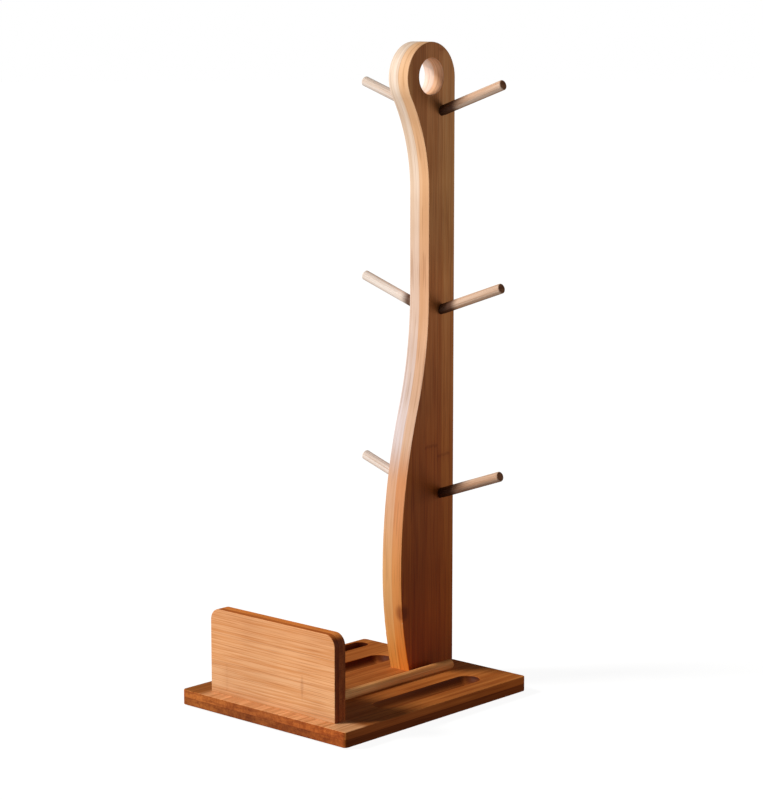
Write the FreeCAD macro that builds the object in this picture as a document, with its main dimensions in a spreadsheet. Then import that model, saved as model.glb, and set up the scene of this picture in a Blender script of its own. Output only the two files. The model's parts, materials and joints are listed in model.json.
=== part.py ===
"""Mug tree with a saucer stand: a board, a curved post with six dowel pegs, a front panel and a rail.

Frame: +X across the board, +Y from the front panel to the post, +Z up. The origin is on the ground,
under the middle of the board. Millimetres and degrees.
"""
import FreeCAD
import Part
import math
import os
import sys

import Sketcher

doc = FreeCAD.newDocument("MugTree")
V = FreeCAD.Vector

# ---------------------------------------------------------------- driving dimensions
DIMENSIONS = [
    # the board that everything stands on
    ("board_width", 130.4),
    ("board_length", 156.8),
    ("board_thick", 9.0),
    ("board_corner", 2.5),
    ("edge_round", 0.5),        # sanded edges of the board, panel and post
    # round pads under the board
    ("pad_radius", 6.0),
    ("pad_thick", 1.0),
    ("pad_inset", 16.0),
    # two scooped saucer grooves and one spoon groove in the board's top
    ("scoop_radius", 8.5),
    ("scoop_depth", 5.0),
    ("scoop_left_x", -26.55),
    ("scoop_right_x", 43.95),
    ("scoop_front_y", -30.7),
    ("scoop_back_y", 57.8),
    ("spoon_width", 10.4),
    ("spoon_depth", 5.2),
    ("spoon_x", -57.55),
    ("spoon_front_y", -52.7),
    ("spoon_back_y", 70.8),
    # front panel
    ("panel_width", 98.6),
    ("panel_height", 49.9),
    ("panel_thick", 8.8),
    ("panel_corner", 7.0),
    ("panel_setback", 8.4),     # from the board's front edge to the panel's front face
    # post: depths run forward from its straight back, heights run up from the board
    ("post_thick", 15.2),
    ("post_height", 372.4),
    ("foot_depth", 39.4),
    ("belly_depth", 46.9),
    ("belly_height", 60.0),
    ("neck_depth", 22.7),
    ("belly_radius", 338.0),
    ("waist_radius", 230.0),
    ("flare_radius", 105.0),
    ("head_radius", 20.8),
    ("hole_radius", 10.8),
    ("hole_lift", 0.8),         # from the head's middle up to the eye's middle
    # pegs: a dowel with a slightly thinner glued end
    ("peg_radius", 3.0),
    ("peg_end_radius", 2.8),
    ("peg_reach", 49.0),        # along the peg, outside the post
    ("peg_seat", 6.0),          # along the peg, inside the post
    ("peg_shoulder", 1.5),      # along the peg, from the post's face to the full thickness
    ("peg_tilt", 19.2),
    ("peg_tip_round", 0.8),
    ("peg_back", 11.6),         # from the post's back to the pegs' middle
    ("peg_low", 104.6),
    ("peg_mid", 215.4),
    ("peg_top", 332.3),
    # rail beside the post
    ("rail_radius", 3.0),
    ("rail_x", 19.05),
    ("rail_sunk", 1.0),
    ("rail_back_y", 63.3),
    # screws: head radius, head height, shank radius and length
    ("post_screw_head", 4.0),
    ("post_screw_sink", 2.4),
    ("post_screw_shank", 2.0),
    ("post_screw_length", 35.0),
    ("panel_screw_head", 3.0),
    ("panel_screw_sink", 1.8),
    ("panel_screw_shank", 1.5),
    ("panel_screw_length", 25.0),
    ("screw_point", 3.0),
    ("screw_slot", 0.9),
    ("post_screw_gap", 18.0),
    ("panel_screw_gap", 62.0),
]

sheet = doc.addObject("Spreadsheet::Sheet", "Dimensions")
for row, (alias, value) in enumerate(DIMENSIONS, 1):
    sheet.set(f"A{row}", alias)
    sheet.set(f"B{row}", str(value))
    sheet.setAlias(f"B{row}", alias)
doc.recompute()


def dim(alias):
    """The number that the sheet holds for an alias."""
    return float(sheet.get(alias))


def cell(formula):
    """A formula written with bare aliases, turned into one that names the sheet."""
    names = sorted((name for name, _ in DIMENSIONS), key=len, reverse=True)
    for index, name in enumerate(names):
        formula = formula.replace(name, f"@{index}@")
    for index, name in enumerate(names):
        formula = formula.replace(f"@{index}@", f"Dimensions.{name}")
    return formula


def bind(thing, **formulas):
    """Bind properties to the sheet; a double underscore in a name stands for a dot."""
    for prop, formula in formulas.items():
        thing.setExpression(prop.replace("__", "."), cell(formula))


# ---------------------------------------------------------------- shared building blocks
def make_body(name):
    body = doc.addObject("PartDesign::Body", name)
    body.Label = name
    return body


def origin_plane(body, role):
    return next(item for item in body.Origin.OriginFeatures if item.Role == role)


def make_sketch(body, name, role="XY_Plane"):
    sketch = body.newObject("Sketcher::SketchObject", name)
    sketch.AttachmentSupport = [(origin_plane(body, role), "")]
    sketch.MapMode = "FlatFace"
    return sketch


def draw_circle(sketch, radius):
    """A circle about the sketch's origin."""
    circle = Part.Circle(V(0, 0, 0), V(0, 0, 1), dim(radius))
    edge = sketch.addGeometry(circle, False)
    sketch.addConstraint(Sketcher.Constraint("Coincident", edge, 3, -1, 1))
    index = sketch.addConstraint(Sketcher.Constraint("Radius", edge, dim(radius)))
    sketch.setExpression(f"Constraints[{index}]", cell(radius))


def draw_rectangle(sketch, width, height, bottom=None):
    """A rectangle centred on the sketch's vertical axis: its foot is at 0, or it is centred both ways."""
    half = dim(width) / 2
    low = -dim(height) / 2 if bottom is None else 0.0
    top = low + dim(height)
    corners = [V(-half, low, 0), V(half, low, 0), V(half, top, 0), V(-half, top, 0)]
    edges = [
        sketch.addGeometry(Part.LineSegment(corners[i], corners[(i + 1) % 4]), False)
        for i in range(4)
    ]
    for i in range(4):
        sketch.addConstraint(Sketcher.Constraint("Coincident", edges[i], 2, edges[(i + 1) % 4], 1))
    for i in (0, 2):
        sketch.addConstraint(Sketcher.Constraint("Horizontal", edges[i]))
        sketch.addConstraint(Sketcher.Constraint("Vertical", edges[i + 1]))
    if bottom is None:
        sketch.addConstraint(Sketcher.Constraint("Symmetric", edges[0], 1, edges[1], 2, -1, 1))
    else:
        sketch.addConstraint(Sketcher.Constraint("Symmetric", edges[0], 1, edges[0], 2, -1, 1))
    for edge, formula, kind in ((edges[0], width, "DistanceX"), (edges[1], height, "DistanceY")):
        index = sketch.addConstraint(Sketcher.Constraint(kind, edge, 1, edge, 2, dim(formula)))
        sketch.setExpression(f"Constraints[{index}]", cell(formula))


def make_pad(body, sketch, name, length, both_ways=False):
    pad = body.newObject("PartDesign::Pad", name)
    pad.Profile = sketch
    pad.SideType = "Symmetric" if both_ways else "One side"
    bind(pad, Length=length)
    doc.recompute()
    return pad


def edge_names(shape, wanted):
    """Names of the edges whose middle point and bounding box satisfy the test."""
    names = []
    for index, edge in enumerate(shape.Edges, 1):
        if wanted(edge.BoundBox):
            names.append(f"Edge{index}")
    return names


def near(a, b):
    return abs(a - b) < 1e-4


def make_fillet(body, base, names, radius):
    fillet = body.newObject("PartDesign::Fillet", f"{body.Name}_{radius}")
    fillet.Base = (base, names)
    bind(fillet, Radius=radius)
    doc.recompute()
    return fillet


def make_cylinder(name, radius, height, x="0", y="0", z="0"):
    tool = doc.addObject("Part::Cylinder", name)
    bind(tool, Radius=radius, Height=height)
    bind(tool, Placement__Base__x=x, Placement__Base__y=y, Placement__Base__z=z)
    return tool


def make_fuse(name, tools):
    fuse = doc.addObject("Part::MultiFuse", name)
    fuse.Shapes = tools
    return fuse


def make_cut(label, base, tool):
    cut = doc.addObject("Part::Cut", label)
    cut.Label = label
    cut.Base = base
    cut.Tool = tool
    return cut


BOARD_TOP = "(pad_thick + board_thick)"
POST_BACK = "(board_length / 2)"


# ---------------------------------------------------------------- screws
SCREWS = {
    "post_screw": [
        ("0", f"{POST_BACK} - foot_depth / 2 - post_screw_gap / 2"),
        ("0", f"{POST_BACK} - foot_depth / 2 + post_screw_gap / 2"),
    ],
    "panel_screw": [
        ("-panel_screw_gap / 2", "panel_setback + panel_thick / 2 - board_length / 2"),
        ("panel_screw_gap / 2", "panel_setback + panel_thick / 2 - board_length / 2"),
    ],
}


def make_screw(kind, number, slotted, x, y):
    """A countersunk wood screw that points up from the board's underside; a plain one is its hole."""
    head = dim(f"{kind}_head")
    sink = dim(f"{kind}_sink")
    shank = dim(f"{kind}_shank")
    length = dim(f"{kind}_length")
    point = dim("screw_point")
    name = f"{kind}_{number}" if slotted else f"{kind}_hole_{number}"
    body = make_body(name)
    sketch = make_sketch(body, f"{name}_outline", "XZ_Plane")
    outline = [(0, 0), (head, 0), (shank, sink), (shank, length - point), (0, length)]
    edges = []
    for i, start in enumerate(outline):
        end = outline[(i + 1) % len(outline)]
        edges.append(sketch.addGeometry(Part.LineSegment(V(*start, 0), V(*end, 0)), False))
    for i in range(len(edges)):
        following = edges[(i + 1) % len(edges)]
        sketch.addConstraint(Sketcher.Constraint("Coincident", edges[i], 2, following, 1))
    sketch.addConstraint(Sketcher.Constraint("Coincident", edges[0], 1, -1, 1))
    sketch.addConstraint(Sketcher.Constraint("Horizontal", edges[0]))
    sketch.addConstraint(Sketcher.Constraint("Vertical", edges[2]))
    sketch.addConstraint(Sketcher.Constraint("Vertical", edges[4]))
    sizes = [
        ("DistanceX", edges[0], 1, edges[0], 2, f"{kind}_head"),
        ("DistanceX", edges[4], 2, edges[1], 2, f"{kind}_shank"),
        ("DistanceY", edges[0], 2, edges[1], 2, f"{kind}_sink"),
        ("DistanceY", edges[4], 2, edges[4], 1, f"{kind}_length"),
        ("DistanceY", edges[2], 2, edges[4], 1, "screw_point"),
    ]
    for what, first, p1, second, p2, alias in sizes:
        index = sketch.addConstraint(
            Sketcher.Constraint(what, first, p1, second, p2, dim(alias))
        )
        sketch.setExpression(f"Constraints[{index}]", cell(alias))
    turned = body.newObject("PartDesign::Revolution", f"{name}_turned")
    turned.Profile = sketch
    turned.ReferenceAxis = (sketch, ["V_Axis"])
    turned.Angle = 360
    doc.recompute()
    if slotted:
        cross = make_sketch(body, f"{name}_cross")
        arm = 0.62 * head
        half = dim("screw_slot") / 2
        plus = [
            (-arm, -half), (-half, -half), (-half, -arm), (half, -arm), (half, -half), (arm, -half),
            (arm, half), (half, half), (half, arm), (-half, arm), (-half, half), (-arm, half),
        ]
        for i, start in enumerate(plus):
            end = plus[(i + 1) % len(plus)]
            cross.addGeometry(Part.LineSegment(V(*start, 0), V(*end, 0)), False)
        recess = body.newObject("PartDesign::Pocket", f"{name}_recess")
        recess.Profile = cross
        recess.Reversed = True
        bind(recess, Length=f"{kind}_sink * 0.6")
        doc.recompute()
    bind(body, Placement__Base__x=x, Placement__Base__y=y, Placement__Base__z="pad_thick")
    return body


def make_screws(kind, slotted):
    return [
        make_screw(kind, number, slotted, x, y)
        for number, (x, y) in enumerate(SCREWS[kind], 1)
    ]


def make_group(label, members):
    group = doc.addObject("Part::Compound", label)
    group.Label = label
    group.Links = members
    return group


# ---------------------------------------------------------------- base board
def make_board():
    body = make_body("board_blank")
    sketch = make_sketch(body, "board_outline")
    draw_rectangle(sketch, "board_width", "board_length")
    slab = make_pad(body, sketch, "board_slab", "board_thick")
    uprights = edge_names(slab.Shape, lambda box: box.ZLength > 1)
    rounded = make_fillet(body, slab, uprights, "board_corner")
    rims = edge_names(rounded.Shape, lambda box: near(box.ZMin, box.ZMax))
    make_fillet(body, rounded, rims, "edge_round")
    bind(body, Placement__Base__z="pad_thick")

    tools = []
    for side in ("left", "right"):
        tools += make_scoop(side)
    tools += make_spoon_groove()
    seat = make_cylinder(
        "rail_seat", "rail_radius", "rail_back_y - (panel_setback + panel_thick - board_length / 2)",
        "rail_x", "rail_back_y", f"{BOARD_TOP} + rail_radius - rail_sunk",
    )
    seat.Placement.Rotation = FreeCAD.Rotation(V(1, 0, 0), 90)
    tools.append(seat)
    for kind in SCREWS:
        tools += make_screws(kind, slotted=False)
    return make_cut("base_board", body, make_fuse("board_cuts", tools))


def make_scoop(side):
    """A groove with a round section and ball ends, its axis above the board's top."""
    x = f"scoop_{side}_x"
    z = f"{BOARD_TOP} + scoop_radius - scoop_depth"
    run = make_cylinder(
        f"scoop_{side}", "scoop_radius", "scoop_back_y - scoop_front_y - 2 * scoop_radius",
        x, "scoop_back_y - scoop_radius", z,
    )
    run.Placement.Rotation = FreeCAD.Rotation(V(1, 0, 0), 90)
    pieces = [run]
    for end, y in (
        ("front", "scoop_front_y + scoop_radius"),
        ("back", "scoop_back_y - scoop_radius"),
    ):
        ball = doc.addObject("Part::Sphere", f"scoop_{side}_{end}")
        bind(ball, Radius="scoop_radius")
        bind(ball, Placement__Base__x=x, Placement__Base__y=y, Placement__Base__z=z)
        pieces.append(ball)
    return pieces


def make_spoon_groove():
    """A flat-bottomed groove with round ends along the board's left side."""
    z = f"{BOARD_TOP} - spoon_depth"
    trench = doc.addObject("Part::Box", "spoon_trench")
    bind(trench, Length="spoon_width", Height="spoon_depth + 2")
    bind(trench, Width="spoon_back_y - spoon_front_y - spoon_width")
    bind(
        trench, Placement__Base__x="spoon_x - spoon_width / 2",
        Placement__Base__y="spoon_front_y + spoon_width / 2", Placement__Base__z=z,
    )
    pieces = [trench]
    for end, y in (
        ("front", "spoon_front_y + spoon_width / 2"),
        ("back", "spoon_back_y - spoon_width / 2"),
    ):
        pieces.append(
            make_cylinder(f"spoon_{end}", "spoon_width / 2", "spoon_depth + 2", "spoon_x", y, z)
        )
    return pieces


# ---------------------------------------------------------------- front panel
def make_panel():
    body = make_body("panel_blank")
    sketch = make_sketch(body, "panel_outline", "XZ_Plane")
    draw_rectangle(sketch, "panel_width", "panel_height", bottom=0)
    slab = make_pad(body, sketch, "panel_slab", "panel_thick", both_ways=True)
    tall = dim("panel_height")
    corners = edge_names(slab.Shape, lambda box: near(box.ZMin, tall) and box.XLength < 1e-3)
    rounded = make_fillet(body, slab, corners, "panel_corner")
    half = dim("panel_thick") / 2

    def on_a_face(box):
        flat = near(box.YMin, box.YMax) and near(abs(box.YMin), half)
        return flat and box.ZMax > 1

    make_fillet(body, rounded, edge_names(rounded.Shape, on_a_face), "edge_round")
    bind(
        body, Placement__Base__y="panel_setback + panel_thick / 2 - board_length / 2",
        Placement__Base__z=BOARD_TOP,
    )
    holes = make_fuse("panel_cuts", make_screws("panel_screw", slotted=False))
    return make_cut("front_panel", body, holes)


# ---------------------------------------------------------------- post
def post_outline():
    """The post's side view as tangent lines and arcs: first axis depth (negative), second height."""
    foot = dim("foot_depth")
    belly = dim("belly_depth")
    rise = dim("belly_height")
    neck = dim("neck_depth")
    head = dim("head_radius")
    upper = dim("belly_radius")
    waist = dim("waist_radius")
    flare = dim("flare_radius")
    crown = dim("post_height")
    head_up = crown - head

    # below the belly, one arc reaches the foot's front corner
    bulge = belly - foot
    lower = (rise**2 + bulge**2) / (2 * bulge)
    foot_angle = math.asin(rise / lower)

    # above it, an arc turns into the hollow waist, which ends upright at the neck
    reach = upper + waist
    turn = math.acos((reach - (belly - neck)) / reach)
    waist_up = rise + reach * math.sin(turn)

    # the neck flares into the round head
    flare_reach = flare + head
    flare_turn = math.acos((neck + flare - head) / flare_reach)
    flare_up = head_up - flare_reach * math.sin(flare_turn)

    def arc(depth, height, radius, start, end):
        circle = Part.Circle(V(-depth, height, 0), V(0, 0, 1), radius)
        return Part.ArcOfCircle(circle, start, end)

    straight = math.pi
    return [
        Part.LineSegment(V(0, 0, 0), V(-foot, 0, 0)),
        arc(belly - lower, rise, lower, straight, straight + foot_angle),
        arc(belly - upper, rise, upper, straight - turn, straight),
        arc(neck + waist, waist_up, waist, -turn, 0),
        Part.LineSegment(V(-neck, waist_up, 0), V(-neck, flare_up, 0)),
        arc(neck + flare, flare_up, flare, 0, flare_turn),
        arc(head, head_up, head, 0, straight + flare_turn),
        Part.LineSegment(V(0, head_up, 0), V(0, 0, 0)),
    ]


def make_post():
    body = make_body("post_blank")
    sketch = make_sketch(body, "post_outline", "YZ_Plane")
    for curve in post_outline():
        edge = sketch.addGeometry(curve, False)
        sketch.addConstraint(Sketcher.Constraint("Block", edge))
    back = dim("head_radius")
    up = dim("post_height") - dim("head_radius") + dim("hole_lift")
    edge = sketch.addGeometry(Part.Circle(V(-back, up, 0), V(0, 0, 1), dim("hole_radius")), False)
    for kind, where, value, formula in (
        ("DistanceX", (edge, 3, -1, 1), back, "head_radius"),
        ("DistanceY", (-1, 1, edge, 3), up, "post_height - head_radius + hole_lift"),
        ("Radius", (edge,), dim("hole_radius"), "hole_radius"),
    ):
        index = sketch.addConstraint(Sketcher.Constraint(kind, *where, value))
        sketch.setExpression(f"Constraints[{index}]", cell(formula))
    slab = make_pad(body, sketch, "post_slab", "post_thick", both_ways=True)
    half = dim("post_thick") / 2

    def on_a_face(box):
        return near(box.XMin, box.XMax) and near(abs(box.XMin), half) and box.ZMax > 1

    make_fillet(body, slab, edge_names(slab.Shape, on_a_face), "edge_round")
    bind(body, Placement__Base__y=POST_BACK, Placement__Base__z=BOARD_TOP)

    tools = make_screws("post_screw", slotted=False)
    for side in PEG_SIDES:
        for level in PEG_LEVELS:
            socket = make_cylinder(f"socket_{side}_{level}", "peg_end_radius", "peg_seat + 12")
            place_peg(socket, side, level)
            tools.append(socket)
    return make_cut("upright_post", body, make_fuse("post_cuts", tools))


# ---------------------------------------------------------------- pegs
PEG_SIDES = {"left": -1, "right": 1}
PEG_LEVELS = ("low", "mid", "top")


def place_peg(thing, side, level):
    """Stand a piece drawn along +Z in its socket: it starts inside the post and rises outwards."""
    sign = PEG_SIDES[side]
    bind(
        thing,
        Placement__Base__x=f"{sign} * (post_thick / 2 - peg_seat * cos(peg_tilt * 1deg))",
        Placement__Base__y=f"{POST_BACK} - peg_back",
        Placement__Base__z=f"{BOARD_TOP} + peg_{level} - peg_seat * sin(peg_tilt * 1deg)",
        Placement__Rotation__Angle=f"{sign} * (90 - peg_tilt) * 1deg",
    )
    thing.Placement.Rotation = FreeCAD.Rotation(V(0, 1, 0), sign * (90 - dim("peg_tilt")))


def make_peg(side, level):
    body = make_body(f"peg_{side}_{level}")
    name = body.Name
    full = make_sketch(body, f"{name}_section")
    draw_circle(full, "peg_radius")
    bind(full, AttachmentOffset__Base__z="peg_seat + peg_shoulder")
    rod = make_pad(body, full, f"{name}_rod", "peg_reach - peg_shoulder")
    length = dim("peg_seat") + dim("peg_reach")
    tip = edge_names(rod.Shape, lambda box: near(box.ZMin, length))
    make_fillet(body, rod, tip, "peg_tip_round")
    thin = make_sketch(body, f"{name}_end_section")
    draw_circle(thin, "peg_end_radius")
    make_pad(body, thin, f"{name}_end", "peg_seat + peg_shoulder + 1")
    place_peg(body, side, level)
    return body


# ---------------------------------------------------------------- rail
def make_rail():
    """A dowel that lies in a shallow seat in the board, from the panel's back to beside the post."""
    body = make_body("saucer_rail")
    sketch = make_sketch(body, "rail_section")
    draw_circle(sketch, "rail_radius")
    span = "rail_back_y - (panel_setback + panel_thick - board_length / 2)"
    rod = make_pad(body, sketch, "rail_rod", span)
    make_fillet(body, rod, edge_names(rod.Shape, lambda box: near(box.ZMax, 0)), "peg_tip_round")
    bind(
        body, Placement__Base__x="rail_x", Placement__Base__y="rail_back_y",
        Placement__Base__z=f"{BOARD_TOP} + rail_radius - rail_sunk",
    )
    body.Placement.Rotation = FreeCAD.Rotation(V(1, 0, 0), 90)
    return body


# ---------------------------------------------------------------- pads under the board
def make_pads():
    pads = []
    for number, (across, along) in enumerate(((-1, -1), (1, -1), (-1, 1), (1, 1)), 1):
        pads.append(
            make_cylinder(
                f"pad_{number}", "pad_radius", "pad_thick",
                f"{across} * (board_width / 2 - pad_inset)",
                f"{along} * (board_length / 2 - pad_inset)", "0",
            )
        )
    return make_group("nonslip_pads", pads)


# ---------------------------------------------------------------- the whole stand
parts = [make_board(), make_panel(), make_post(), make_rail(), make_pads()]
for peg_side in PEG_SIDES:
    for peg_level in PEG_LEVELS:
        parts.append(make_peg(peg_side, peg_level))
parts.append(make_group("post_screws", make_screws("post_screw", slotted=True)))
parts.append(make_group("panel_screws", make_screws("panel_screw", slotted=True)))
doc.recompute()

# ---------------------------------------------------------------- checks, then one file per part
failed = [item.Label for item in doc.Objects if {"Invalid", "Error"} & set(item.State)]
if failed:
    sys.exit(f"objects failed to recompute: {failed}")
os.makedirs("parts", exist_ok=True)
for part in parts:
    shape = part.Shape
    if shape.isNull() or not shape.isValid() or shape.Volume <= 0:
        sys.exit(f"{part.Label} has no valid shape")
    shape.exportStep(f"parts/{part.Label}.step")
    box = shape.BoundBox
    print(
        f"{part.Label}: {len(shape.Solids)} solid(s), {shape.Volume:.0f} mm3,"
        f" x {box.XMin:.1f}..{box.XMax:.1f} y {box.YMin:.1f}..{box.YMax:.1f}"
        f" z {box.ZMin:.1f}..{box.ZMax:.1f}"
    )
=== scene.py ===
"""Looks, light and camera for the mug tree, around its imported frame.

Metres, in the frame's axes: +X across the board along the pegs, +Y from the front panel to the post, +Z up.
"""
import json
import math
from dataclasses import dataclass

import bpy
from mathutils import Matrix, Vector


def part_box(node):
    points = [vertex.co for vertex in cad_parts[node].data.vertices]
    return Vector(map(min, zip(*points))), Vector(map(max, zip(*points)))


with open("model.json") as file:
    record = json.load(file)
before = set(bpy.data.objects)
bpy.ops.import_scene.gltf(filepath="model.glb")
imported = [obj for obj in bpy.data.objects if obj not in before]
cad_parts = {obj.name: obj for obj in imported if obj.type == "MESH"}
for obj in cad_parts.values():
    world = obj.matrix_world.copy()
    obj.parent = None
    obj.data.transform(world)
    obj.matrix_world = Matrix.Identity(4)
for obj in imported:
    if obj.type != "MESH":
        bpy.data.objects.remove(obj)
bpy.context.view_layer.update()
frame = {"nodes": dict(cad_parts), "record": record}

NODES = frame["nodes"]
MM = 0.001
WHITE = (1.0, 1.0, 1.0)


# ---------------------------------------------------------------- material building
class Graph:
    """A material's node tree, built from short calls that mostly give back output sockets."""

    def __init__(self, name):
        self.material = bpy.data.materials.new(name)
        self.material.use_nodes = True
        self.tree = self.material.node_tree
        self.tree.nodes.clear()
        self.shader = self.add("ShaderNodeBsdfPrincipled")
        self.output = self.add("ShaderNodeOutputMaterial")
        self.tree.links.new(self.shader.outputs["BSDF"], self.output.inputs["Surface"])
        coords = self.add("ShaderNodeTexCoord")
        self.place = coords.outputs["Object"]
        self.normal = coords.outputs["Normal"]
        self.x, self.y, self.z = self.split(self.place)
        self.facing_x, self.facing_y, self.facing_z = self.split(self.normal)

    def add(self, kind, **settings):
        made = self.tree.nodes.new(kind)
        for key, value in settings.items():
            setattr(made, key, value)
        return made

    def feed(self, socket, value):
        if isinstance(value, bpy.types.NodeSocket):
            self.tree.links.new(value, socket)
        elif socket.type == "RGBA":
            socket.default_value = (*value, 1.0)
        else:
            socket.default_value = value

    def set(self, **values):
        """Values or outputs for the shader's sockets, with _ for a space in a socket's name."""
        for name, value in values.items():
            self.feed(self.shader.inputs[name.replace("_", " ")], value)

    def math(self, operation, *values):
        made = self.add("ShaderNodeMath", operation=operation)
        for socket, value in zip(made.inputs, values):
            self.feed(socket, value)
        return made.outputs[0]

    def vector_math(self, operation, *values):
        made = self.add("ShaderNodeVectorMath", operation=operation)
        for socket, value in zip(made.inputs, values):
            self.feed(socket, value)
        return made.outputs["Value" if operation == "LENGTH" else "Vector"]

    def product(self, first, *others):
        for other in others:
            first = self.math("MULTIPLY", first, other)
        return first

    def total(self, *pairs):
        """Sum of value times weight."""
        result = 0.0
        for value, weight in pairs:
            result = self.math("MULTIPLY_ADD", value, weight, result)
        return result

    def distance(self, value, centre):
        return self.math("ABSOLUTE", self.math("SUBTRACT", value, centre))

    def below(self, value, limit):
        return self.math("LESS_THAN", value, limit)

    def step(self, value, low, high, start=0.0, end=1.0):
        """A smooth step from start at low to end at high."""
        made = self.add("ShaderNodeMapRange", interpolation_type="SMOOTHSTEP")
        for socket, number in zip(made.inputs, (value, low, high, start, end)):
            self.feed(socket, number)
        return made.outputs[0]

    def ramp(self, value, stops):
        """Colours along a value: each stop is the value and its colour."""
        low, high = stops[0][0], stops[-1][0]
        made = self.add("ShaderNodeValToRGB")
        made.color_ramp.interpolation = "EASE"
        elements = made.color_ramp.elements
        while len(elements) < len(stops):
            elements.new(0.5)
        for element, (at, tone) in zip(elements, stops):
            element.position = (at - low) / (high - low)
            element.color = (*tone, 1.0)
        self.feed(made.inputs[0], self.math("DIVIDE", self.math("SUBTRACT", value, low), high - low))
        return made.outputs[0]

    def mix(self, factor, first, second, how="MIX"):
        made = self.add("ShaderNodeMix", data_type="RGBA", blend_type=how)
        for index, value in ((0, factor), (6, first), (7, second)):
            self.feed(made.inputs[index], value)
        return made.outputs[2]

    def mix_number(self, factor, first, second):
        return self.math("MULTIPLY_ADD", factor, second - first, first)

    def tint(self, color, factor, by):
        """Multiply a colour where the factor is 1."""
        return self.mix(factor, color, by, "MULTIPLY")

    def stack(self, *parts):
        made = self.add("ShaderNodeCombineXYZ")
        for socket, value in zip(made.inputs, parts):
            self.feed(socket, value)
        return made.outputs[0]

    def split(self, vector):
        made = self.add("ShaderNodeSeparateXYZ")
        self.feed(made.inputs[0], vector)
        return made.outputs[:3]

    def noise(self, vector, scale=1.0, detail=2.0, roughness=0.5, distortion=0.0):
        made = self.add("ShaderNodeTexNoise")
        self.feed(made.inputs["Vector"], vector)
        made.inputs["Scale"].default_value = scale
        made.inputs["Detail"].default_value = detail
        made.inputs["Roughness"].default_value = roughness
        made.inputs["Distortion"].default_value = distortion
        return made.outputs[0]

    def chance(self, *numbers):
        """Three random numbers for each set of whole numbers."""
        made = self.add("ShaderNodeTexWhiteNoise", noise_dimensions="3D")
        self.feed(made.inputs["Vector"], self.stack(*numbers))
        return self.split(made.outputs["Color"])

    def turned(self, vector, tilt):
        """A vector turned about the Y axis."""
        made = self.add("ShaderNodeVectorRotate", rotation_type="Y_AXIS")
        self.feed(made.inputs["Vector"], vector)
        made.inputs["Angle"].default_value = tilt
        return made.outputs[0]

    def bump(self, height, strength, depth):
        made = self.add("ShaderNodeBump")
        made.inputs["Strength"].default_value = strength
        made.inputs["Distance"].default_value = depth
        self.feed(made.inputs["Height"], height)
        self.tree.links.new(made.outputs[0], self.shader.inputs["Normal"])


# ---------------------------------------------------------------- bamboo
@dataclass
class Wood:
    """How a piece is laminated and coloured. Lengths are in metres; tones multiply the fibres' colours."""

    grain: str                                  # the axes along the grain, across it and through the plies
    colors: tuple                               # pale and dark fibres
    strip: float                                # width of a strip
    seed: float
    shift: float = 0.0                          # moves the strips sideways
    tilt: float = 0.0                           # turns the grain about the Y axis
    ply_at: float = 1.0                         # where the two plies meet; 1 m leaves a single ply
    ply_tones: tuple = (WHITE, WHITE)           # the two plies, where their edges show
    strip_tones: tuple = ((0.86, 0.84, 0.82), (1.12, 1.13, 1.15))
    side_tone: tuple = WHITE                    # the narrow sides
    cut_tone: tuple = (0.80, 0.72, 0.62)        # the cut ends
    cut_mottle: float = 0.5
    lines: float = 540.0                        # fibres per metre across the grain
    bands_share: float = 0.36                   # how much of the pattern is broad bands
    contrast: float = 1.0
    strips_on_sides: float = 1.0                # 0 for narrow sides that show no strips
    grain_on_sides: float = 1.0
    knot_share: float = 0.5                     # the share of strips with knuckles
    knuckle: float = 1.0                        # how dark the knuckles are
    glue_line: float = 0.5                      # how dark the line between the plies is
    marks: tuple = ()                           # single dark marks: centre, half sizes and depth
    gloss: float = 0.22
    milled: object = None                       # a mask of the faces that are milled into the piece
    # shade: on the post, board and dowels this carries painted light, shadow, reflection and shade
    shade: object = None                        # a tone that varies over the piece


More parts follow.
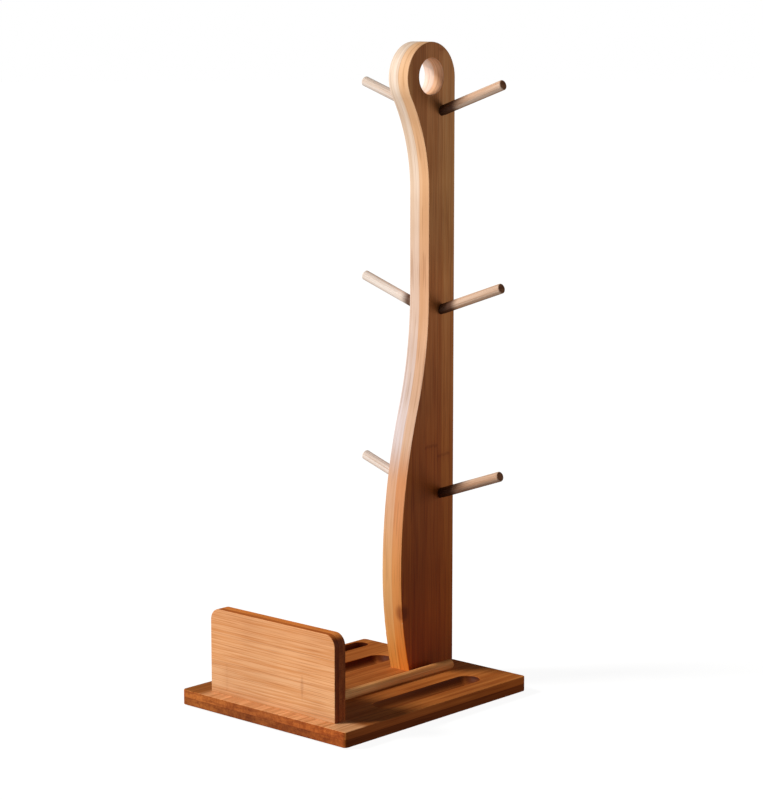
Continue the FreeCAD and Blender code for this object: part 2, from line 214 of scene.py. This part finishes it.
class Bamboo(Graph):
    """Laminated bamboo: strips side by side in plies, with fibres, pores, knuckles and glue lines."""

    KNUCKLE_GAP = 0.24                          # metres between knuckles on one strip
    BASE_ROUGHNESS = 0.42
    PLY_STAGGER = 0.37                          # of a strip, between the two plies

    def __init__(self, name, wood):
        super().__init__(name)
        self.wood = wood
        self.find_faces()
        self.find_strips()
        self.bands = self.fibres(6.0, wood.lines * 0.26)
        self.streaks = self.fibres(15.0, wood.lines)
        self.hairs = self.fibres(50.0, wood.lines * 3.6)
        self.pores = self.fibres(34.0, wood.lines * 2.7, detail=0.0)
        color = self.fibre_color()
        color = self.tones(color)
        color, line = self.knuckles(color)
        color = self.single_marks(color)
        color = self.glue_lines(color)
        color = self.cut_ends(color)
        self.finish(color, line)

    def find_faces(self):
        """Places along the piece's own axes, and masks of its broad faces, narrow sides and cut ends."""
        place, normal = (self.x, self.y, self.z), (self.facing_x, self.facing_y, self.facing_z)
        if self.wood.tilt:
            place = self.split(self.turned(self.place, self.wood.tilt))
            normal = self.split(self.turned(self.normal, self.wood.tilt))
        order = ["xyz".index(axis) for axis in self.wood.grain]
        self.along, self.aside, self.through = (place[i] for i in order)
        self.broad = self.step(self.math("ABSOLUTE", normal[order[2]]), 0.55, 0.80)
        self.cut = self.step(self.math("ABSOLUTE", normal[order[0]]), 0.72, 0.92)
        self.side = self.math("SUBTRACT", 1.0, self.broad)
        if self.wood.milled:
            self.side = self.product(self.side, self.math("SUBTRACT", 1.0, self.wood.milled(self)))

    def find_strips(self):
        """Which strip and ply a point is in, and random numbers for each strip."""
        wood = self.wood
        self.ply = self.math("GREATER_THAN", self.through, wood.ply_at)
        across = self.math("DIVIDE", self.math("ADD", self.aside, wood.shift), wood.strip)
        self.row = self.math("ADD", across, self.product(self.ply, self.PLY_STAGGER))
        index = self.math("FLOOR", self.row)
        self.slide, self.strip_tone, self.knuckle_place = self.chance(index, self.ply, wood.seed)
        self.strips = self.math("ADD", self.product(self.side, wood.strips_on_sides), self.broad)
        self.offset = self.product(self.slide, 37.0, self.strips)

    def fibres(self, long, fine, detail=2.0):
        """Noise drawn out along the grain: long and fine are its scales along and across."""
        place = self.stack(
            self.math("MULTIPLY_ADD", self.along, long, self.offset),
            self.product(self.aside, self.mix_number(self.strips, long, fine)),
            self.product(self.through, fine),
        )
        return self.noise(place, detail=detail, roughness=0.55, distortion=0.1)

    def fibre_color(self):
        wood = self.wood
        hairs_share = 0.22
        streaks_share = 1.0 - hairs_share - wood.bands_share
        mask = self.total(
            (self.bands, wood.bands_share), (self.streaks, streaks_share), (self.hairs, hairs_share),
        )
        spread = 0.13 / wood.contrast
        mask = self.step(mask, 0.5 - spread, 0.5 + spread)
        strength = self.mix_number(self.side, 1.0, wood.grain_on_sides)
        mask = self.math("MULTIPLY_ADD", self.math("SUBTRACT", mask, 0.5), strength, 0.5)
        color = self.mix(mask, *wood.colors)
        return self.tint(color, self.step(self.pores, 0.60, 0.70, 0.0, 0.36), (0.56, 0.40, 0.28))

    def tones(self, color):
        """Each strip has its own tone, so has each ply where its edge shows, and so have whole faces; the
        piece's shade adds its tones, much of them painted light and shade.
        """
        wood = self.wood
        color = self.tint(color, self.strips, self.mix(self.strip_tone, *wood.strip_tones))
        color = self.tint(color, self.side, self.mix(self.ply, *wood.ply_tones))
        color = self.tint(color, self.side, wood.side_tone)
        if wood.shade:
            color = self.tint(color, 1.0, wood.shade(self))
        cloud = self.noise(self.place, scale=22.0)
        clouding = self.mix(self.step(cloud, 0.35, 0.65), (0.94, 0.92, 0.90), (1.05, 1.06, 1.07))
        return self.tint(color, 1.0, clouding)

    def knuckles(self, color):
        """A knuckle crosses some strips: a thin dark line with a softer stain beside it."""
        wood, gap = self.wood, self.KNUCKLE_GAP
        wave = self.total((self.streaks, 2.4 * MM), (self.bands, 2.0 * MM))
        where = self.math("ADD", self.math("ADD", self.along, wave), self.product(self.knuckle_place, gap))
        away = self.product(self.distance(self.math("FRACT", self.math("DIVIDE", where, gap)), 0.5), gap)
        has = self.product(self.below(self.slide, wood.knot_share), self.strips)
        line = self.product(self.step(away, 0.3 * MM, 1.4 * MM, 0.55 * wood.knuckle, 0.0), has)
        stain = self.product(self.step(away, 0.8 * MM, 5.0 * MM, 0.30 * wood.knuckle, 0.0), has)
        color = self.tint(color, line, (0.50, 0.30, 0.17))
        return self.tint(color, stain, (0.72, 0.54, 0.38)), line

    def single_marks(self, color):
        for centre, half_sizes, depth in self.wood.marks:
            shrunk = self.vector_math("DIVIDE", self.vector_math("SUBTRACT", self.place, centre), half_sizes)
            away = self.vector_math("LENGTH", shrunk)
            reach = self.total((away, 1.0), (self.streaks, 0.5), (self.bands, 0.5))
            color = self.tint(color, self.step(reach, 0.9, 1.6, depth, 0.0), (0.48, 0.32, 0.24))
        return color

    def glue_lines(self, color):
        """Thin dark lines between the strips and between the plies."""
        wood = self.wood
        middle = self.distance(self.math("FRACT", self.row), 0.5)
        seam = self.product(self.math("SUBTRACT", 0.5, middle), wood.strip)
        seams = self.product(self.step(seam, 0.06 * MM, 0.28 * MM, 0.42, 0.0), self.strips)
        color = self.tint(color, seams, (0.52, 0.38, 0.27))
        glue = self.step(self.distance(self.through, wood.ply_at), 0.10 * MM, 0.40 * MM, wood.glue_line, 0.0)
        return self.tint(color, glue, (0.55, 0.38, 0.26))

    def cut_ends(self, color):
        """The cut ends soak up more finish, in short level flecks."""
        color = self.tint(color, self.cut, self.wood.cut_tone)
        short, thin = 95.0, 620.0
        place = self.stack(
            self.product(self.aside, short),
            self.product(self.through, thin),
            self.product(self.along, short),
        )
        flecks = self.noise(place, detail=3.0)
        mottle = self.product(self.cut, self.step(flecks, 0.42, 0.62, 0.0, self.wood.cut_mottle))
        return self.tint(color, mottle, (0.50, 0.36, 0.24))

    def finish(self, color, line):
        """A satin oiled surface with the fibres just felt in it."""
        dull = self.total((self.hairs, 0.16), (self.bands, 0.10), (self.cut, 0.10))
        roughness = self.math("ADD", dull, self.BASE_ROUGHNESS)
        self.set(Base_Color=color, Roughness=roughness, Specular_IOR_Level=self.wood.gloss)
        self.bump(self.total((self.hairs, 0.5), (self.streaks, 0.8), (line, 0.6)), 0.3, 0.10 * MM)


# ---------------------------------------------------------------- metal and rubber
def steel(name):
    """Zinc-plated screw steel with turning marks on the head."""
    g = Graph(name)
    cloud = g.noise(g.place, scale=420.0, detail=3.0)
    grains = g.noise(g.place, scale=2600.0)
    color = g.mix(g.step(cloud, 0.3, 0.7), (0.47, 0.46, 0.44), (0.66, 0.65, 0.62))
    color = g.tint(color, g.step(grains, 0.56, 0.70, 0.0, 0.45), (0.55, 0.50, 0.42))
    g.set(Base_Color=color, Roughness=g.total((cloud, 0.22), (grains, 0.20), (1.0, 0.16)), Metallic=1.0)
    g.bump(g.total((grains, 1.0), (cloud, 0.5)), 0.25, 0.05 * MM)
    return g.material


def rubber(name):
    """Matt black pads with a fine moulded texture and a little dust."""
    g = Graph(name)
    fine = g.noise(g.place, scale=2400.0, detail=3.0)
    dust = g.noise(g.place, scale=180.0, detail=4.0, roughness=0.6)
    color = g.mix(fine, (0.010, 0.010, 0.011), (0.030, 0.029, 0.028))
    color = g.mix(g.step(dust, 0.52, 0.74, 0.0, 0.35), color, (0.10, 0.092, 0.08))
    g.set(Base_Color=color, Roughness=g.total((fine, 0.14), (dust, 0.10), (1.0, 0.72)))
    g.bump(fine, 0.4, 0.08 * MM)
    return g.material


def paint(name, material):
    mesh = NODES[name].data
    mesh.materials.clear()
    mesh.materials.append(material)


# ---------------------------------------------------------------- tones, painted light and painted shade over the post
# Narrow sides by height: a painted highlight, pale towards the head, and a deeper orange towards the foot
# that is partly the wood's own tone and partly painted shade.
POST_SIDE_LIGHT_BY_HEIGHT = [
    (0.010, (1.26, 0.92, 0.32)),
    (0.056, (1.25, 1.12, 0.74)),
    (0.122, (1.03, 0.96, 1.00)),
    (0.150, (1.00, 1.40, 2.40)),
    (0.240, (1.04, 1.26, 1.75)),
    (0.318, (1.20, 1.55, 2.10)),
    (0.382, (1.28, 1.75, 2.50)),
]
# Broad faces by height: painted shade, darker and redder towards the foot and lighter towards the head.
POST_FACE_SHADE_BY_HEIGHT = [
    (0.010, (0.50, 0.17, 0.02)),
    (0.056, (0.66, 0.26, 0.04)),
    (0.134, (0.91, 0.45, 0.14)),
    (0.199, (1.08, 0.65, 0.30)),
    (0.288, (1.28, 1.00, 0.60)),
    (0.382, (1.24, 0.93, 0.60)),
]
POST_FACE_BY_DEPTH = [
    (0.0405, (1.02, 1.04, 1.04)),
    (0.0420, (0.92, 0.86, 0.82)),
    (0.0665, (0.94, 0.88, 0.84)),
    (0.0680, (1.10, 1.16, 1.20)),
    (0.0784, (1.04, 1.08, 1.10)),
]
POST_BACK = (1.05, 0.95, 0.80)
# Painted light on the wall of the eye's bore.
EYE_BORE_LIGHT = (1.28, 1.72, 2.60)
EYE = next(mount for mount in frame["record"]["mounts"] if mount["name"] == "hanging_eye")


def post_shade(g):
    """Painted light and shade by height: a painted highlight on the narrow sides at the head, turning to a
    deeper orange at the foot that is partly the wood's own tone and partly painted shade; painted shade on
    the broad faces towards the foot; painted light in the eye's bore; a plain tone on the back edge. The
    broad faces' strips also differ from front to back.
    """
    face = g.tint(g.ramp(g.z, POST_FACE_SHADE_BY_HEIGHT), 1.0, g.ramp(g.y, POST_FACE_BY_DEPTH))
    side = g.ramp(g.z, POST_SIDE_LIGHT_BY_HEIGHT)
    side = g.mix(g.step(g.facing_y, 0.30, 0.80), side, POST_BACK)
    _, eye_y, eye_z = EYE["pos_m"]
    up, back = g.math("SUBTRACT", g.z, eye_z), g.math("SUBTRACT", g.y, eye_y)
    reach = (EYE["dims"]["r_mm"] + 1.0) * MM
    side = g.mix(g.below(g.total((up, up), (back, back)), reach ** 2), side, EYE_BORE_LIGHT)
    return g.mix(g.broad, side, face)


# ---------------------------------------------------------------- tones, painted light and painted shade over the board
PLY_SEAM = 5.5 * MM
GROOVE_LOWEST = 3.5 * MM
GROOVE_SHADE_FADE = (-0.045, 0.045)
BOARD_MARGIN = 0.8 * MM
EDGE_DEPTH = 1.3 * MM
PANEL_FRONT = -0.0575
PANEL_LEFT = (-0.053, -0.046)
# Board top along its length: a painted reflection of the panel on the strip before it, then the panel's
# painted shadow behind it, fading to a lighter tone towards the back.
BOARD_TOP_LIGHT_BY_LENGTH = [
    (-0.066, (1.90, 3.05, 6.20)),
    (-0.058, (0.90, 0.90, 0.84)),
    (0.020, (1.20, 1.24, 1.20)),
    (0.080, (1.42, 1.55, 1.45)),
]
BOARD_FRONT_BY_WIDTH = [
    (-0.066, (1.20, 1.50, 1.60)),
    (0.000, (0.90, 1.02, 1.14)),
    (0.066, (1.20, 1.25, 1.15)),
]
BOARD_FLANK_BY_LENGTH = [
    (-0.040, (0.77, 0.70, 0.74)),
    (0.080, (1.12, 1.08, 0.96)),
]
BOARD_UNDERSIDE = (1.10, 1.12, 1.05)
BESIDE_PANEL = (1.05, 1.12, 1.10)
LOWER_PLY_FRONT = (1.14, 1.30, 1.34)
# The lower ply on the right flank: partly a darker ply, partly painted shade along the board's foot.
LOWER_PLY_FLANK_SHADE = (0.76, 0.77, 0.76)
# Painted shade in the milled grooves: the floors a little darker, the left walls and back ends much darker.
GROOVE_FLOOR_SHADE = (0.94, 0.92, 0.90)
GROOVE_WALL_SHADE = (0.36, 0.26, 0.22)
_, (BOARD_RIGHT, BOARD_BACK, BOARD_TOP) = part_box("base_board")


def in_groove(g):
    """1 on the walls and floors of the milled grooves, 0 on the board's own faces."""
    deep = g.step(g.math("SUBTRACT", BOARD_TOP, g.z), 0.02 * MM, 0.30 * MM)
    within_x = g.below(g.math("ABSOLUTE", g.x), BOARD_RIGHT - BOARD_MARGIN)
    within_y = g.below(g.math("ABSOLUTE", g.y), BOARD_BACK - BOARD_MARGIN)
    return g.product(deep, within_x, within_y, g.math("GREATER_THAN", g.z, GROOVE_LOWEST))


def board_shade(g):
    """Tones along the board: a painted reflection of the panel on the strip before it, the panel's painted
    shadow behind it, painted shade on the left walls and back ends of the grooves, and on the right flank a
    lower ply that is partly painted shade.
    """
    top = g.ramp(g.y, BOARD_TOP_LIGHT_BY_LENGTH)
    # The painted reflection stops at the panel's left end; beyond it the strip keeps a plainer tone.
    beside = g.product(g.step(g.x, *PANEL_LEFT, 1.0, 0.0), g.below(g.y, PANEL_FRONT))
    top = g.mix(beside, top, BESIDE_PANEL)
    top = g.mix(g.below(g.z, PLY_SEAM), top, BOARD_UNDERSIDE)
    lower = g.step(g.z, PLY_SEAM - 0.2 * MM, PLY_SEAM + 0.2 * MM, 1.0, 0.0)
    front_tone = g.tint(g.ramp(g.x, BOARD_FRONT_BY_WIDTH), lower, LOWER_PLY_FRONT)
    flank_tone = g.tint(g.ramp(g.y, BOARD_FLANK_BY_LENGTH), lower, LOWER_PLY_FLANK_SHADE)
    front = g.product(g.step(g.facing_y, -0.55, -0.85), g.below(g.y, EDGE_DEPTH - BOARD_BACK))
    flank = g.product(g.step(g.facing_x, 0.55, 0.85), g.math("GREATER_THAN", g.x, BOARD_RIGHT - EDGE_DEPTH))
    tone = g.mix(flank, g.mix(front, top, front_tone), flank_tone)
    # Painted shade: the grooves' left walls, less towards the front, and their back ends.
    left_wall = g.product(g.step(g.facing_x, 0.25, 0.80), g.step(g.y, *GROOVE_SHADE_FADE, 0.45, 1.0))
    back_end = g.step(g.facing_y, -0.15, -0.65)
    wall = g.math("MAXIMUM", left_wall, back_end)
    return g.mix(in_groove(g), tone, g.mix(wall, GROOVE_FLOOR_SHADE, GROOVE_WALL_SHADE))


# ---------------------------------------------------------------- tones, and the dowels' painted shadow, over the smaller pieces
PANEL_BY_HEIGHT = [
    (0.010, (1.00, 1.08, 1.20)),
    (0.035, (0.92, 0.87, 0.84)),
    (0.060, (0.90, 0.81, 0.75)),
]
PANEL_TOP = (1.55, 1.85, 1.95)
RAIL_BY_LENGTH = [
    (-0.060, (1.00, 0.95, 0.90)),
    (-0.020, (0.95, 0.84, 0.78)),
    (0.020, (0.86, 0.68, 0.56)),
]
# Painted shadow of the post on the dowels, darkest at the root and gone a little way out.
DOWEL_ROOT_SHADOW = [
    (0.0076, (0.09, 0.05, 0.03)),
    (0.0165, (0.15, 0.09, 0.06)),
    (0.0230, WHITE),
]


def panel_shade(g):
    """The panel's face is a little lighter towards the board, and its top is lighter than its ends."""
    return g.mix(g.step(g.facing_z, 0.55, 0.85), g.ramp(g.z, PANEL_BY_HEIGHT), PANEL_TOP)


def rail_shade(g):
    """The rail is browner towards the post."""
    return g.ramp(g.y, RAIL_BY_LENGTH)


def dowel_root_shadow(g):
    """The dowels are painted dark where they leave the post: a painted shadow of the post."""
    return g.ramp(g.math("ABSOLUTE", g.x), DOWEL_ROOT_SHADOW)


# ---------------------------------------------------------------- the object's materials
PANEL_WOOD = Wood(
    grain="xzy", colors=((0.83, 0.44, 0.205), (0.70, 0.30, 0.10)), strip=0.0166, seed=3.0, shift=0.004,
    ply_at=-0.0668, ply_tones=((0.75, 0.60, 0.45), (1.15, 1.10, 1.00)), side_tone=(0.66, 0.37, 0.18),
    strip_tones=((0.95, 0.94, 0.93), (1.04, 1.05, 1.06)), lines=1100.0, bands_share=0.10, contrast=1.5,
    knuckle=0.15, marks=(((0.024, -0.070, 0.026), (0.0013, 0.010, 0.008), 0.30),), shade=panel_shade,
)
BOARD_WOOD = Wood(
    grain="yxz", colors=((0.48, 0.155, 0.036), (0.32, 0.082, 0.014)), strip=0.0215, seed=11.0, shift=0.005,
    ply_at=PLY_SEAM, ply_tones=((0.77, 0.65, 0.52), (1.22, 1.20, 1.12)), side_tone=(1.35, 1.22, 0.98),
    strip_tones=((0.92, 0.91, 0.90), (1.06, 1.07, 1.08)), cut_tone=(0.62, 0.52, 0.50), lines=430.0,
    knuckle=0.4, gloss=0.10, milled=in_groove, shade=board_shade,
)
POST_WOOD = Wood(
    grain="zyx", colors=((0.78, 0.46, 0.26), (0.62, 0.30, 0.13)), strip=0.0113, seed=5.0,
    ply_at=0.0, ply_tones=((1.05, 1.13, 1.22), (1.00, 0.83, 0.63)), cut_tone=WHITE, cut_mottle=0.1,
    lines=500.0, strips_on_sides=0.0, grain_on_sides=0.5, knuckle=0.6, glue_line=0.12,
    marks=(((0.0062, 0.0335, 0.0465), (0.0045, 0.0060, 0.0065), 0.80),), shade=post_shade,
)
RAIL_WOOD = Wood(
    grain="yxz", colors=((0.95, 0.56, 0.23), (0.72, 0.34, 0.11)), strip=0.02, seed=17.0, shift=0.0006,
    lines=800.0, knot_share=0.0, gloss=0.10, shade=rail_shade,
)
PEG_TILT = math.radians(19.2)
PEG_WOODS = {
    "left": (-PEG_TILT, ((0.97, 0.89, 0.83), (0.88, 0.72, 0.60))),
    "right": (PEG_TILT, ((0.87, 0.67, 0.53), (0.70, 0.42, 0.26))),
}

paint("front_panel", Bamboo("panel_bamboo", PANEL_WOOD).material)
paint("base_board", Bamboo("board_bamboo", BOARD_WOOD).material)
paint("upright_post", Bamboo("post_bamboo", POST_WOOD).material)
paint("saucer_rail", Bamboo("rail_bamboo", RAIL_WOOD).material)
for side, (tilt, colors) in PEG_WOODS.items():
    dowel = Bamboo(f"dowel_{side}", Wood(
        grain="xyz", colors=colors, strip=0.04, seed=23.0, shift=0.012, tilt=tilt,
        cut_tone=(0.50, 0.30, 0.18), lines=900.0, knot_share=0.0, shade=dowel_root_shadow,
    ))
    for level in ("low", "mid", "top"):
        paint(f"peg_{side}_{level}", dowel.material)
zinc = steel("zinc_steel")
paint("post_screws", zinc)
paint("panel_screws", zinc)
paint("nonslip_pads", rubber("pad_rubber"))


# ---------------------------------------------------------------- floor and surround
def stage_graph(name, diffuse, glow):
    """A plain white surface: part of its brightness is its own, so shadows on it stay faint."""
    g = Graph(name)
    g.set(
        Base_Color=(diffuse, diffuse, diffuse), Roughness=0.9, Specular_IOR_Level=0.0,
        Emission_Color=WHITE, Emission_Strength=glow,
    )
    return g


def clear_from_below(g):
    """Seen from below, the surface lets the object's underside show."""
    both = g.add("ShaderNodeMixShader")
    clear = g.add("ShaderNodeBsdfTransparent")
    geometry = g.add("ShaderNodeNewGeometry")
    g.feed(both.inputs[0], geometry.outputs["Backfacing"])
    g.tree.links.new(g.shader.outputs[0], both.inputs[1])
    g.tree.links.new(clear.outputs[0], both.inputs[2])
    g.tree.links.new(both.outputs[0], g.output.inputs["Surface"])


def set_up(thing, name, g):
    """A piece of the stage that only the camera sees."""
    thing.name = name
    thing.data.materials.append(g.material)
    for kind in ("diffuse", "glossy", "transmission", "volume_scatter", "shadow"):
        setattr(thing, f"visible_{kind}", False)
    return thing


floor_graph = stage_graph("floor_pale", diffuse=0.18, glow=0.93)
clear_from_below(floor_graph)
bpy.ops.mesh.primitive_plane_add(size=24.0, location=(0, 0, 0))
floor = set_up(bpy.context.object, "floor", floor_graph)

bpy.ops.mesh.primitive_uv_sphere_add(segments=48, ring_count=24, radius=11.5, location=(0, 0, 0))
surround = set_up(bpy.context.object, "surround", stage_graph("surround_white", diffuse=0.0, glow=1.0))

world = bpy.data.worlds.new("studio")
bpy.context.scene.world = world
world.use_nodes = True
sky = world.node_tree.nodes["Background"]
sky.inputs["Color"].default_value = (1.0, 0.97, 0.94, 1.0)
sky.inputs["Strength"].default_value = 0.07


# ---------------------------------------------------------------- lights and camera
def aim(thing, at, target):
    thing.location = at
    thing.rotation_mode = "QUATERNION"
    thing.rotation_quaternion = (Vector(target) - Vector(at)).to_track_quat("-Z", "Y")


def add_to_scene(name, data, at, target):
    made = bpy.data.objects.new(name, data)
    bpy.context.scene.collection.objects.link(made)
    aim(made, at, target)
    return made


def add_light(name, kind, energy, at, target, color, **settings):
    data = bpy.data.lights.new(name, kind)
    data.energy = energy
    data.color = color
    for key, value in settings.items():
        setattr(data, key, value)
    add_to_scene(name, data, at, target)


MIDDLE = (0.0, 0.03, 0.19)
add_light(
    "key", "SUN", 2.75, at=(-1.0, -1.13, 1.47), target=MIDDLE, color=(1.0, 0.975, 0.94),
    angle=math.radians(16.0),
)
add_light(
    "table_bounce", "SUN", 1.8, at=(-0.90, -1.61, -0.65), target=MIDDLE, color=(1.0, 0.98, 0.96),
    angle=math.radians(70.0),
)
add_light(
    "side_fill", "AREA", 1.5, at=(0.78, 0.52, 0.24), target=(0.0, 0.06, 0.26), color=(1.0, 0.97, 0.94),
    size=0.45,
)

camera_data = bpy.data.cameras.new("camera")
camera_data.lens = 110.96
camera_data.sensor_width = 36.0
camera_data.clip_start, camera_data.clip_end = 0.05, 60.0
bpy.context.scene.camera = add_to_scene(
    "camera", camera_data, at=(0.95685, -1.0295, 0.40482), target=(-0.00735, 0.0306, 0.17376),
)
bpy.context.scene.view_settings.view_transform = "Standard"
